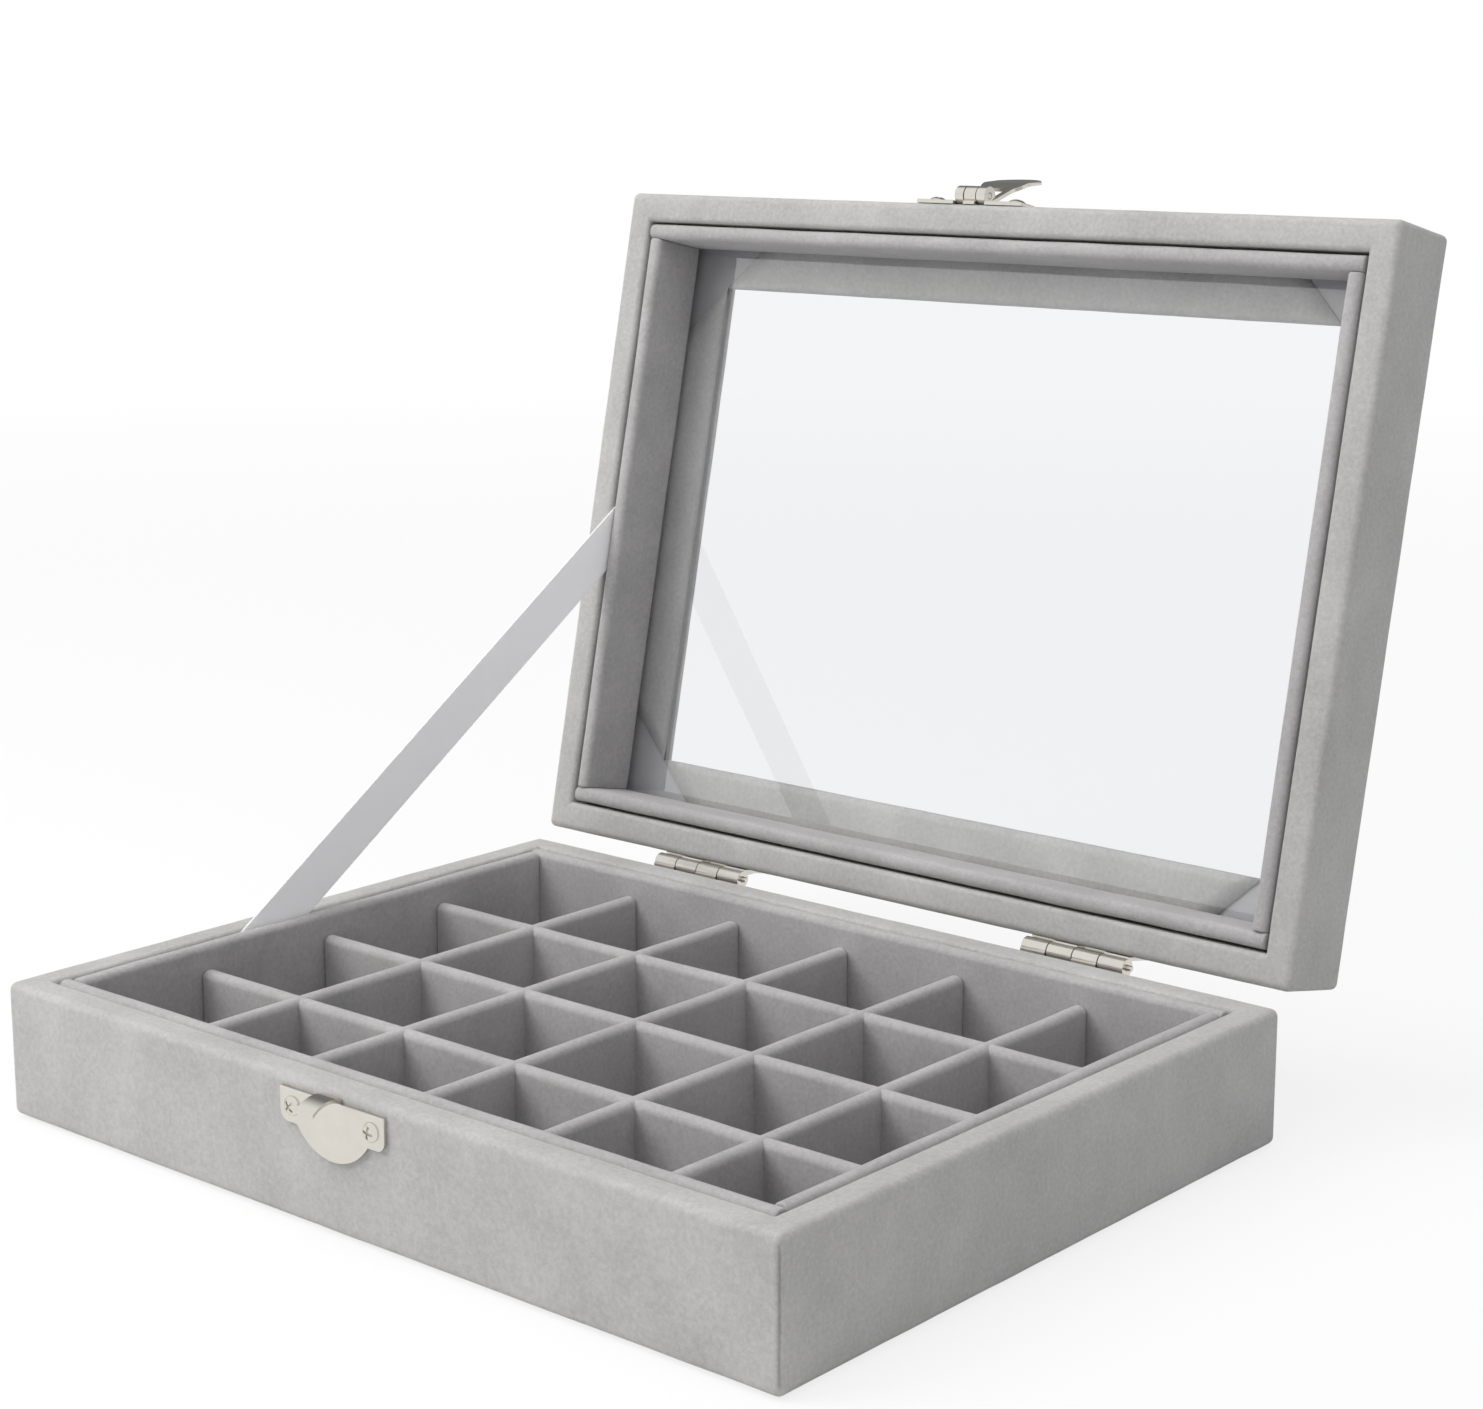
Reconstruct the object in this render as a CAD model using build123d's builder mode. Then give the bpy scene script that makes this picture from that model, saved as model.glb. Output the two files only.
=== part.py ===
from build123d import *
from math import cos, radians, sin, tan
import os

# Earring organizer: a velvet-covered case of 24 cells with a hinged glass lid, held open by
# a ribbon. Millimetres. X runs along the latch side, Y from the latch to the hinges, Z up.
# The origin is the centre of the bottom face, and the lid stands open on its ribbon.

# Outer sizes of the case and the lid
case_width = 200
case_depth = 150
case_height = 28
lid_height = 20
rim_gap = 0.3
corner_radius = 1.5
lid_open_angle = 102

# Boards and cloth
board = 5.5
bottom_board = 3
panel_board = 2.5
velvet = 0.5
rim_return = 8
hem_width = 12
lining = 0.5
lining_inset = 2

# Liner boards inside the walls, and the floor pad
groove = 0.6
liner = 3.4
liner_edge_radius = 1.5
pad = 1.2
slip = 0.1

# Dividers
columns = 6
rows = 4
divider = 3.5
divider_drop = 5
divider_edge_radius = 1.6

# Window and glass
window_border = 19
glass = 2
glass_slip = 0.5
flap_slip = 1
flap_corner_angle = 45

# Butt hinges on the back
hinge_spacing = 102
hinge_length = 25
hinge_knuckles = 4
hinge_radius = 1.9
hinge_standoff = 2.2
hinge_leaf_height = 11
hinge_leaf = 0.8
hinge_pin_radius = 0.6
hinge_pin_overhang = 1
hinge_screw_spread = 16
hinge_screw_drop = 1
knuckle_gap = 0.2
pin_slip = 0.05

# Latch: a catch plate on the case, and a plate with a hinged tongue on the lid
latch_x = -3.2
plate = 0.8
plate_width = 27.5
ear_height = 6.5
ear_radius = 2
moon_radius = 11.4
catch_drop = 2
latch_screw_spread = 20.8
hasp_rise = 0.7
hook_width = 4.6
hook_reach = 7
hook_root_rise = 0.8
hook_crown_out = 2.6
hook_crown_rise = 1.3
hook_tip_drop = 0.4

tongue_axis_out = 2.2
tongue_axis_up = 2.7
tongue_barrel_radius = 2
tongue_pin_radius = 0.7
tongue_middle_knuckle = 3
tongue_side_knuckle = 2.2
tongue_open_angle = 150
tongue_width = 8.6
tongue_end_width = 11.5
tongue_shoulder = 6.5
tongue_length = 11.5
bill_length = 8
bill_flare = 15
slot_slip = 0.25
slot_side_slip = 0.5

# Small screws
screw_head_radius = 1.9
screw_head_height = 1
screw_head_taper = 40
screw_shank_radius = 0.9
screw_length = 4.5
screw_recess = 0.45
screw_slip = 0.05

# Ribbon stay
ribbon_width = 10.4
ribbon = 0.35
ribbon_case_y = -11
ribbon_lid_y = 7
ribbon_tail = 12

# Sizes that follow from those above
wall = board + 2 * velvet
rim_width = case_width - 2 * wall
rim_depth = case_depth - 2 * wall
liner_width = rim_width - 2 * groove
liner_depth = rim_depth - 2 * groove
inside_width = liner_width - 2 * liner
inside_depth = liner_depth - 2 * liner
window_width = case_width - 2 * window_border
window_depth = case_depth - 2 * window_border
flap_width = window_border - velvet - board - flap_slip
lid_bottom = case_height + rim_gap
lid_top = lid_bottom + lid_height
panel_low = lid_top - velvet - panel_board
flap_low = panel_low - velvet
glass_low = flap_low - glass
base_low = lining + velvet
floor = base_low + bottom_board
pad_top = floor + pad
divider_top = case_height - divider_drop
hinge_y = case_depth / 2 + hinge_standoff
hinge_z = case_height + rim_gap / 2
tongue_y = -case_depth / 2 - tongue_axis_out
tongue_z = lid_bottom + tongue_axis_up

os.makedirs("parts", exist_ok=True)


def finish(piece, name):
    """Labels a finished piece and writes its file."""
    piece.part.label = name
    export_step(piece.part, f"parts/{name}.step")


def turned_back(angle, y, z):
    """The turn that opens a closed piece by this angle about an X axis through (y, z)."""
    return Pos(0, y, z) * Rot(-angle, 0, 0) * Pos(0, -y, -z)


lid_turn = turned_back(lid_open_angle, hinge_y, hinge_z)
tongue_turn = lid_turn * turned_back(tongue_open_angle, tongue_y, tongue_z)


def on_case(plane):
    """A plane on the case, as it is drawn."""
    return plane


def on_lid(plane):
    """A plane drawn on the closed lid, carried to the open lid."""
    return Plane(lid_turn * plane.location)


def on_tongue(plane):
    """A plane drawn on the closed tongue, carried to where the tongue lies flipped back."""
    return Plane(tongue_turn * plane.location)


def across(x):
    """A plane square to X, drawn with Y to the right and Z up."""
    return Plane(origin=(x, 0, 0), x_dir=(0, 1, 0), z_dir=(1, 0, 0))


def front_face(x, z):
    """A plane on the front wall's outer face at (x, z), facing outwards."""
    return Plane(origin=(x, -case_depth / 2, z), x_dir=(1, 0, 0), z_dir=(0, -1, 0))


def back_face(x, z):
    """A plane on the back wall's outer face at (x, z), facing outwards."""
    return Plane(origin=(x, case_depth / 2, z), x_dir=(-1, 0, 0), z_dir=(0, 1, 0))


# Where the screws go. Each plane lies on a wall's outer face, under the plate that is held.
latch_screw_xs = [latch_x - latch_screw_spread / 2, latch_x + latch_screw_spread / 2]
catch_top = case_height - catch_drop
catch_screw_z = catch_top - ear_height / 2
hasp_low = lid_bottom + hasp_rise
hasp_screw_z = hasp_low + ear_height / 2
hinge_xs = {"left": -hinge_spacing / 2, "right": hinge_spacing / 2}
hinge_screw_z = hinge_leaf_height / 2 + hinge_screw_drop

catch_seats = [front_face(x, catch_screw_z) for x in latch_screw_xs]
hasp_seats = [on_lid(front_face(x, hasp_screw_z)) for x in latch_screw_xs]
hinge_screw_xs = [
    x + side * hinge_screw_spread / 2 for x in hinge_xs.values() for side in (-1, 1)
]
hinge_case_seats = [back_face(x, hinge_z - hinge_screw_z) for x in hinge_screw_xs]
hinge_lid_seats = [on_lid(back_face(x, hinge_z + hinge_screw_z)) for x in hinge_screw_xs]


def drill(seats):
    """Cuts the screw holes of these seats from the piece being made."""
    for seat in seats:
        with BuildSketch(seat) as hole:
            Circle(screw_shank_radius + screw_slip)
        extrude(hole.sketch, amount=screw_length + plate, both=True, mode=Mode.SUBTRACT)


def block(plane, width, depth, height, x=0, y=0):
    """Adds a block that stands on a plane, centred at (x, y) there."""
    with BuildSketch(plane) as outline:
        with Locations((x, y)):
            Rectangle(width, depth)
    extrude(outline.sketch, amount=height)


# Walls. The front and back boards run the full width, with the side boards between them.
board_width = case_width - 2 * velvet
board_depth = case_depth - 2 * velvet
side_board_length = board_depth - 2 * board


def make_walls(prefix, place, low, high, front_holes, back_holes):
    """Makes the four wall boards of the case or the lid."""
    for name, side, holes in (("front", -1, front_holes), ("back", 1, back_holes)):
        with BuildPart() as long_wall:
            with BuildSketch(place(Plane.XY.offset(low))):
                RectangleRounded(board_width, board_depth, corner_radius - velvet)
                with Locations((0, -side * board)):
                    Rectangle(board_width, board_depth, mode=Mode.SUBTRACT)
            extrude(amount=high - low)
            drill(holes)
        finish(long_wall, f"{prefix}_{name}_wall")
    for name, side in (("left", -1), ("right", 1)):
        with BuildPart() as side_wall:
            middle = side * (board_width - board) / 2
            block(place(Plane.XY.offset(low)), board, side_board_length, high - low, middle)
        finish(side_wall, f"{prefix}_{name}_wall")


make_walls("case", on_case, base_low, case_height - velvet, catch_seats, hinge_case_seats)
make_walls("lid", on_lid, lid_bottom + velvet, panel_low, hasp_seats, hinge_lid_seats)

# The case's bottom board, glued between the walls
with BuildPart() as case_bottom_board:
    block(
        Plane.XY.offset(base_low),
        board_width - 2 * board,
        side_board_length,
        bottom_board,
    )
finish(case_bottom_board, "case_bottom_board")

# The lid's top panel, a board with the window cut out, laid over the walls
with BuildPart() as lid_top_panel:
    with BuildSketch(on_lid(Plane.XY.offset(panel_low))):
        RectangleRounded(board_width, board_depth, corner_radius - velvet)
        Rectangle(window_width + 2 * velvet, window_depth + 2 * velvet, mode=Mode.SUBTRACT)
    extrude(amount=panel_board)
finish(lid_top_panel, "lid_top_panel")


# Velvet. One cloth wraps each shell: its sides, its rim and the top of its inner faces.
def velvet_shell(place, low, high, rim_is_low):
    """Adds the cloth of the sides, the rim and the inner return, and a sheet at the far end."""
    height = high - low
    depth = height - velvet
    mouth_low = low if rim_is_low else low + velvet
    below_return = low + rim_return if rim_is_low else low + velvet
    with BuildSketch(place(Plane.XY.offset(low))) as outside:
        RectangleRounded(case_width, case_depth, corner_radius)
    extrude(outside.sketch, amount=height)
    with BuildSketch(place(Plane.XY.offset(low + velvet))) as boards:
        RectangleRounded(board_width, board_depth, corner_radius - velvet)
        Rectangle(rim_width + 2 * velvet, rim_depth + 2 * velvet, mode=Mode.SUBTRACT)
    extrude(boards.sketch, amount=height - 2 * velvet, mode=Mode.SUBTRACT)
    with BuildSketch(place(Plane.XY.offset(mouth_low))) as mouth:
        Rectangle(rim_width, rim_depth)
    extrude(mouth.sketch, amount=depth, mode=Mode.SUBTRACT)
    with BuildSketch(place(Plane.XY.offset(below_return))) as beyond:
        Rectangle(rim_width + 2 * velvet, rim_depth + 2 * velvet)
    extrude(beyond.sketch, amount=depth - rim_return, mode=Mode.SUBTRACT)


with BuildPart() as case_velvet_wrap:
    velvet_shell(on_case, lining, case_height, False)
    with BuildSketch(Plane.XY.offset(lining)):
        Rectangle(case_width - 2 * hem_width, case_depth - 2 * hem_width)
    extrude(amount=velvet, mode=Mode.SUBTRACT)
    drill(catch_seats + hinge_case_seats)
finish(case_velvet_wrap, "case_velvet_wrap")

# The lid's cloth is also turned through the window and glued down inside in four flaps.
with BuildPart() as lid_velvet_wrap:
    velvet_shell(on_lid, lid_bottom, lid_top, True)
    with BuildSketch(on_lid(Plane.XY.offset(flap_low))):
        Rectangle(window_width + 2 * velvet, window_depth + 2 * velvet)
        for turn, edge, out in (
            (0, window_width, window_depth / 2),
            (90, window_depth, window_width / 2),
            (180, window_width, window_depth / 2),
            (270, window_depth, window_width / 2),
        ):
            with Locations(Rot(0, 0, turn) * Pos(0, out + flap_width / 2)):
                Trapezoid(edge, flap_width, flap_corner_angle)
    extrude(amount=velvet)
    with BuildSketch(on_lid(Plane.XY.offset(panel_low))):
        Rectangle(window_width + 2 * velvet, window_depth + 2 * velvet)
    extrude(amount=panel_board)
    with BuildSketch(on_lid(Plane.XY.offset(flap_low))):
        Rectangle(window_width, window_depth)
    extrude(amount=lid_top - flap_low, mode=Mode.SUBTRACT)
    drill(hasp_seats + hinge_lid_seats)
finish(lid_velvet_wrap, "lid_velvet_wrap")

# The lining glued under the case, which it stands on
with BuildPart() as bottom_lining:
    with BuildSketch(Plane.XY):
        RectangleRounded(
            case_width - 2 * lining_inset, case_depth - 2 * lining_inset, corner_radius
        )
    extrude(amount=lining)
finish(bottom_lining, "bottom_lining")

# The velvet-covered pad on the case's floor, between the liners
with BuildPart() as floor_pad:
    block(Plane.XY.offset(floor), inside_width - 2 * slip, inside_depth - 2 * slip, pad)
finish(floor_pad, "floor_pad")


# Liner boards, covered with velvet, with the edge at the rim rounded
def make_liners(prefix, place, low, high, rim):
    """Makes the four liner boards of the case or the lid, between the heights low and high."""
    up = place(Plane.XY).z_dir
    rim_point = up * rim
    for name, x, y, width, depth in (
        ("front", 0, -(liner_depth - liner) / 2, liner_width, liner),
        ("back", 0, (liner_depth - liner) / 2, liner_width, liner),
        ("left", -(liner_width - liner) / 2, 0, liner, inside_depth),
        ("right", (liner_width - liner) / 2, 0, liner, inside_depth),
    ):
        with BuildPart() as liner_board:
            block(place(Plane.XY.offset(low)), width, depth, high - low, x, y)
            ends = liner_board.faces().sort_by(Axis(rim_point, up))
            rim_face = ends[-1] if rim == high else ends[0]
            along = Axis.X if width > depth else Axis(rim_point, place(Plane.XY).y_dir)
            fillet(rim_face.edges().filter_by(along), liner_edge_radius)
        finish(liner_board, f"{prefix}_liner_{name}")


make_liners("case", on_case, floor, case_height, case_height)
make_liners("lid", on_lid, lid_bottom, glass_low, lid_bottom)

# The glass, held between the flaps and the liners
with BuildPart() as glass_pane:
    block(
        on_lid(Plane.XY.offset(glass_low)),
        rim_width + 2 * velvet - 2 * glass_slip,
        rim_depth + 2 * velvet - 2 * glass_slip,
        glass,
    )
finish(glass_pane, "glass_pane")

# Dividers, lapped where they cross: the long ones are slotted from the top, the short ones
# from below.
column_pitch = (inside_width + divider) / columns
row_pitch = (inside_depth + divider) / rows
divider_xs = [column_pitch * (i - columns / 2) for i in range(1, columns)]
divider_ys = [row_pitch * (i - rows / 2) for i in range(1, rows)]
divider_height = divider_top - pad_top
lap = divider_height / 2
lap_width = divider + 2 * slip


def make_divider(name, length, plane, laps, lap_low):
    """Makes one divider on a plane along its length, with laps cut at these places."""
    with BuildPart() as strip:
        with BuildSketch(plane):
            Rectangle(length, divider)
        extrude(amount=divider_height)
        top = strip.faces().sort_by(Axis.Z)[-1]
        fillet(top.edges().sort_by(SortBy.LENGTH)[-2:], divider_edge_radius)
        with BuildSketch(plane.offset(lap_low)):
            with Locations(*[(x, 0) for x in laps]):
                Rectangle(lap_width, divider)
        extrude(amount=lap + slip / 2, mode=Mode.SUBTRACT)
    finish(strip, name)


for i, y in enumerate(divider_ys):
    long_plane = Plane(origin=(0, y, pad_top), x_dir=(1, 0, 0), z_dir=(0, 0, 1))
    make_divider(
        f"long_divider_{i + 1}", inside_width - 2 * slip, long_plane, divider_xs, lap - slip / 2
    )
for i, x in enumerate(divider_xs):
    short_plane = Plane(origin=(x, 0, pad_top), x_dir=(0, 1, 0), z_dir=(0, 0, 1))
    make_divider(f"short_divider_{i + 1}", inside_depth - 2 * slip, short_plane, divider_ys, 0)


# Screws, in groups. The head is domed, with a cross recess.
def make_screws(name, seats):
    """Makes the screws of these seats, each through a plate into the wall."""
    with BuildPart() as group:
        for seat in seats:
            head = seat.offset(plate)
            with BuildSketch(head):
                Circle(screw_head_radius)
            extrude(amount=screw_head_height, taper=screw_head_taper)
            with BuildSketch(head):
                Circle(screw_shank_radius)
            extrude(amount=-screw_length)
            with BuildSketch(head.offset(screw_head_height)):
                Rectangle(screw_head_radius, screw_recess)
                Rectangle(screw_recess, screw_head_radius)
            extrude(amount=-screw_head_height / 2, mode=Mode.SUBTRACT)
    finish(group, name)


make_screws("catch_screws", catch_seats)
make_screws("hasp_screws", hasp_seats)
make_screws("hinge_case_screws", hinge_case_seats)
make_screws("hinge_lid_screws", hinge_lid_seats)

# Butt hinges. The knuckles take turns, and each leaf is notched round the other's.
knuckle_pitch = hinge_length / hinge_knuckles
knuckle_length = knuckle_pitch - knuckle_gap
notch_up = ((hinge_radius + knuckle_gap) ** 2 - (hinge_standoff - hinge_leaf) ** 2) ** 0.5


def make_hinge_leaf(name, place, centre, side, first):
    """Makes one hinge leaf. It goes down from the axis for side -1, and up for side 1."""
    middles = [
        centre + knuckle_pitch * (i - (hinge_knuckles - 1) / 2) for i in range(hinge_knuckles)
    ]
    own = middles[first::2]
    others = middles[1 - first :: 2]
    face = place(back_face(centre, hinge_z))
    with BuildPart() as leaf:
        with BuildSketch(face):
            with Locations((0, side * hinge_leaf_height / 2)):
                Rectangle(hinge_length - knuckle_gap, hinge_leaf_height)
            with Locations(*[(centre - x, 0) for x in others]):
                Rectangle(knuckle_length + 2 * knuckle_gap, 2 * notch_up, mode=Mode.SUBTRACT)
        extrude(amount=hinge_leaf)
        for x in own:
            with BuildSketch(place(across(x))):
                with Locations((hinge_y, hinge_z)):
                    Circle(hinge_radius)
            extrude(amount=knuckle_length / 2, both=True)
        with BuildSketch(place(across(centre))):
            with Locations((hinge_y, hinge_z)):
                Circle(hinge_pin_radius + pin_slip)
        extrude(amount=hinge_length, both=True, mode=Mode.SUBTRACT)
        drill(hinge_case_seats if side < 0 else hinge_lid_seats)
    finish(leaf, name)


for side_name, x in hinge_xs.items():
    make_hinge_leaf(f"hinge_case_leaf_{side_name}", on_case, x, -1, 0)
    make_hinge_leaf(f"hinge_lid_leaf_{side_name}", on_lid, x, 1, 1)
    with BuildPart() as hinge_pin:
        with BuildSketch(across(x - hinge_length / 2)):
            with Locations((hinge_y, hinge_z)):
                Circle(hinge_pin_radius)
        extrude(amount=hinge_length + hinge_pin_overhang)
    finish(hinge_pin, f"hinge_pin_{side_name}")


# Latch plates. Each is a half moon with an ear for a screw at each end.
def moon_plate(face, side):
    """Adds a plate whose straight edge lies on the face's X axis, with its body to one side."""
    with BuildSketch(face) as moon:
        Circle(moon_radius)
        with Locations((0, -side * moon_radius)):
            Rectangle(2 * plate_width, 2 * moon_radius, mode=Mode.SUBTRACT)
        with Locations((0, side * ear_height / 2)):
            RectangleRounded(plate_width, ear_height, ear_radius)
        with Locations((0, side * ear_radius / 2)):
            Rectangle(plate_width, ear_radius)
    extrude(moon.sketch, amount=plate)


front_y = -case_depth / 2
hook_back_z = catch_top + hook_root_rise
hook_crown = (front_y - hook_crown_out, catch_top + hook_crown_rise)
hook_crown_below = (hook_crown[0], hook_crown[1] - plate)
hook_tip = (front_y - hook_reach, catch_top - hook_tip_drop)
hook_tip_below = (hook_tip[0], hook_tip[1] - plate)
with BuildPart() as catch_plate:
    moon_plate(front_face(latch_x, catch_top), -1)
    with BuildSketch(across(latch_x)):
        with BuildLine():
            ThreePointArc((front_y, hook_back_z), hook_crown, hook_tip)
            Line(hook_tip, hook_tip_below)
            ThreePointArc(hook_tip_below, hook_crown_below, (front_y - plate, catch_top))
            Line((front_y - plate, catch_top), (front_y - plate, catch_top - plate))
            Line((front_y - plate, catch_top - plate), (front_y, catch_top - plate))
            Line((front_y, catch_top - plate), (front_y, hook_back_z))
        make_face()
    extrude(amount=hook_width / 2, both=True)
    drill(catch_seats)
finish(catch_plate, "catch_plate")

# The lid's plate has one knuckle in the middle, and a notch for each of the tongue's.
barrel_length = tongue_middle_knuckle + 2 * knuckle_gap + 2 * tongue_side_knuckle
side_knuckle_x = (tongue_middle_knuckle + tongue_side_knuckle) / 2 + knuckle_gap
plate_notch_up = tongue_axis_up - hasp_rise + tongue_barrel_radius
with BuildPart() as hasp_plate:
    moon_plate(on_lid(front_face(latch_x, hasp_low)), 1)
    with BuildSketch(on_lid(front_face(latch_x, hasp_low))):
        with Locations((-side_knuckle_x, 0), (side_knuckle_x, 0)):
            Rectangle(tongue_side_knuckle + 2 * knuckle_gap, 2 * plate_notch_up)
    extrude(amount=plate, mode=Mode.SUBTRACT)
    with BuildSketch(on_lid(across(latch_x))):
        with Locations((tongue_y, tongue_z)):
            Circle(tongue_barrel_radius)
    extrude(amount=tongue_middle_knuckle / 2, both=True)
    with BuildSketch(on_lid(across(latch_x))):
        with Locations((tongue_y, tongue_z)):
            Circle(tongue_pin_radius + pin_slip)
    extrude(amount=barrel_length, both=True, mode=Mode.SUBTRACT)
    drill(hasp_seats)
finish(hasp_plate, "hasp_plate")

with BuildPart() as hasp_pin:
    with BuildSketch(on_lid(across(latch_x))):
        with Locations((tongue_y, tongue_z)):
            Circle(tongue_pin_radius)
    extrude(amount=barrel_length / 2, both=True)
finish(hasp_pin, "hasp_pin")

# The tongue hangs in front of the hook when it is closed. Its slot is as long as the hook's
# sweep past the tongue needs, and its end flares outwards for a finger.
tongue_inner = tongue_barrel_radius - plate
hook_top_gap = tongue_z - hook_crown[1] - slot_slip
hook_tip_out = hook_reach - tongue_axis_out
hook_tip_gap = tongue_z - hook_tip_below[1]
slot_start = (hook_top_gap**2 - tongue_barrel_radius**2) ** 0.5
slot_end = ((hook_tip_out**2 + hook_tip_gap**2) ** 0.5 + slot_slip) ** 2
slot_end = (slot_end - tongue_inner**2) ** 0.5
bill_out = bill_length * sin(radians(bill_flare))
bill_down = bill_length * cos(radians(bill_flare))
bend = plate * tan(radians(bill_flare / 2))
inner_y = tongue_y - tongue_inner
outer_y = tongue_y - tongue_barrel_radius
bend_z = tongue_z - tongue_length
knuckle_clear = ((tongue_barrel_radius + slot_slip) ** 2 - tongue_inner**2) ** 0.5

with BuildPart() as hasp_tongue:
    with BuildSketch(on_tongue(across(latch_x))):
        with BuildLine():
            Polyline(
                (inner_y, tongue_z),
                (outer_y, tongue_z),
                (outer_y, bend_z + bend),
                (outer_y - bill_out, bend_z + bend - bill_down),
                (inner_y - bill_out, bend_z - bill_down),
                (inner_y, bend_z),
                close=True,
            )
        make_face()
    extrude(amount=tongue_end_width, both=True)
    with BuildSketch(on_tongue(front_face(latch_x, tongue_z))):
        with BuildLine():
            half = tongue_width / 2
            end_half = tongue_end_width / 2
            end = -tongue_length - bill_down
            Polyline((barrel_length / 2, 0), (-barrel_length / 2, 0))
            Line((-barrel_length / 2, 0), (-half, -knuckle_clear))
            Line((-half, -knuckle_clear), (-half, -tongue_shoulder))
            Spline(
                (-half, -tongue_shoulder),
                (-end_half, -tongue_length),
                tangents=((0, -1), (0, -1)),
            )
            Line((-end_half, -tongue_length), (-end_half, end + end_half / 2))
            ThreePointArc(
                (-end_half, end + end_half / 2), (0, end), (end_half, end + end_half / 2)
            )
            Line((end_half, end + end_half / 2), (end_half, -tongue_length))
            Spline(
                (end_half, -tongue_length),
                (half, -tongue_shoulder),
                tangents=((0, 1), (0, 1)),
            )
            Line((half, -tongue_shoulder), (half, -knuckle_clear))
            Line((half, -knuckle_clear), (barrel_length / 2, 0))
        make_face()
    extrude(amount=4 * hook_reach, mode=Mode.INTERSECT)
    with BuildSketch(on_tongue(front_face(latch_x, tongue_z))):
        Rectangle(tongue_middle_knuckle + 2 * knuckle_gap, 2 * knuckle_clear)
        with Locations((0, -(slot_start + slot_end) / 2)):
            Rectangle(hook_width + 2 * slot_side_slip, slot_end - slot_start)
    extrude(amount=2 * hook_reach, mode=Mode.SUBTRACT)
    for side in (-1, 1):
        with BuildSketch(on_tongue(across(latch_x + side * side_knuckle_x))):
            with Locations((tongue_y, tongue_z)):
                Circle(tongue_barrel_radius)
        extrude(amount=tongue_side_knuckle / 2, both=True)
    with BuildSketch(on_tongue(across(latch_x))):
        with Locations((tongue_y, tongue_z)):
            Circle(tongue_pin_radius + pin_slip)
    extrude(amount=barrel_length, both=True, mode=Mode.SUBTRACT)
finish(hasp_tongue, "hasp_tongue")

# The ribbon runs straight from its groove in the case to its groove in the lid.
ribbon_x = -(rim_width - groove) / 2
lid_exit = lid_turn * Pos(ribbon_x, ribbon_lid_y, lid_bottom)
ribbon_run = lid_exit.position - Vector(ribbon_x, ribbon_case_y, case_height)
with BuildPart() as ribbon_stay:
    ribbon_plane = Plane(
        origin=(ribbon_x, ribbon_case_y, case_height), x_dir=ribbon_run, z_dir=(1, 0, 0)
    )
    with BuildSketch(ribbon_plane):
        with Locations((ribbon_run.length / 2, 0)):
            Rectangle(ribbon_run.length + 2 * ribbon_tail, ribbon_width)
    extrude(amount=ribbon / 2, both=True)
finish(ribbon_stay, "ribbon_stay")
print(f"ribbon between the rims: {ribbon_run.length:.1f} mm")
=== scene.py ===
from math import cos, pi, radians, sin

import bmesh
import bpy
from mathutils import Matrix, Vector, noise


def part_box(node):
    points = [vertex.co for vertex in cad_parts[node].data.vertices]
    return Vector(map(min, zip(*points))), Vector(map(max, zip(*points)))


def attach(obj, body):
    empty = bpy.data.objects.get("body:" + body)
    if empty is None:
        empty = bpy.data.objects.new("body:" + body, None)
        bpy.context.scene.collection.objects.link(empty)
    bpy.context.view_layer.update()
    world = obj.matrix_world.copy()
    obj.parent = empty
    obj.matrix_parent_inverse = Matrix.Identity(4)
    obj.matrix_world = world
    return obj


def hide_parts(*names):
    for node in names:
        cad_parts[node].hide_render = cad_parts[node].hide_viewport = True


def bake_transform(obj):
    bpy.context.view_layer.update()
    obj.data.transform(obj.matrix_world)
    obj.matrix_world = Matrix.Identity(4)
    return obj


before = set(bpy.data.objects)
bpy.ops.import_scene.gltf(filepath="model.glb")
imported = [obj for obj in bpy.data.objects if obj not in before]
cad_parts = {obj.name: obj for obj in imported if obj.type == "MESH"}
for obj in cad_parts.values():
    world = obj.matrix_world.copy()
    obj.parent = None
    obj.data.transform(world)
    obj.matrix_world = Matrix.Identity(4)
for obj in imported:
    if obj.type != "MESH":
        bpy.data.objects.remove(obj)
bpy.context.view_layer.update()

mm = 0.001

# The stand for the picture. A pale floor runs out to a white room, and the camera looks at
# the open case from its front right, a little above the rim.
camera_azimuth = radians(40.73)
camera_elevation = radians(12.08)
camera_distance = 569 * mm
camera_target = Vector((10.3, 20, 84.2)) * mm
image_width = 1483
focal_pixels = 2931

towards_camera = Vector(
    (
        sin(camera_azimuth) * cos(camera_elevation),
        -cos(camera_azimuth) * cos(camera_elevation),
        sin(camera_elevation),
    )
)
camera = bpy.data.objects.new("camera", bpy.data.cameras.new("camera"))
camera.data.sensor_width = 36
camera.data.lens = camera.data.sensor_width * focal_pixels / image_width
camera.data.clip_start = 10 * mm
camera.location = camera_target + camera_distance * towards_camera
camera.rotation_euler = towards_camera.to_track_quat("Z", "Y").to_euler()
bpy.context.scene.collection.objects.link(camera)
bpy.context.scene.camera = camera
bpy.context.scene.view_settings.view_transform = "Standard"


class Wire:
    """A socket of a finish. Sums on wires add Math nodes to it."""

    def __init__(self, finish, socket):
        self.finish = finish
        self.socket = socket

    def sum(self, operation, first, second):
        return self.finish.node("ShaderNodeMath", {"operation": operation}, {0: first, 1: second})

    def __add__(self, other):
        return self.sum("ADD", self, other)

    def __rsub__(self, other):
        return self.sum("SUBTRACT", other, self)

    def __mul__(self, other):
        return self.sum("MULTIPLY", self, other)

    __radd__ = __add__
    __rmul__ = __mul__


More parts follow.
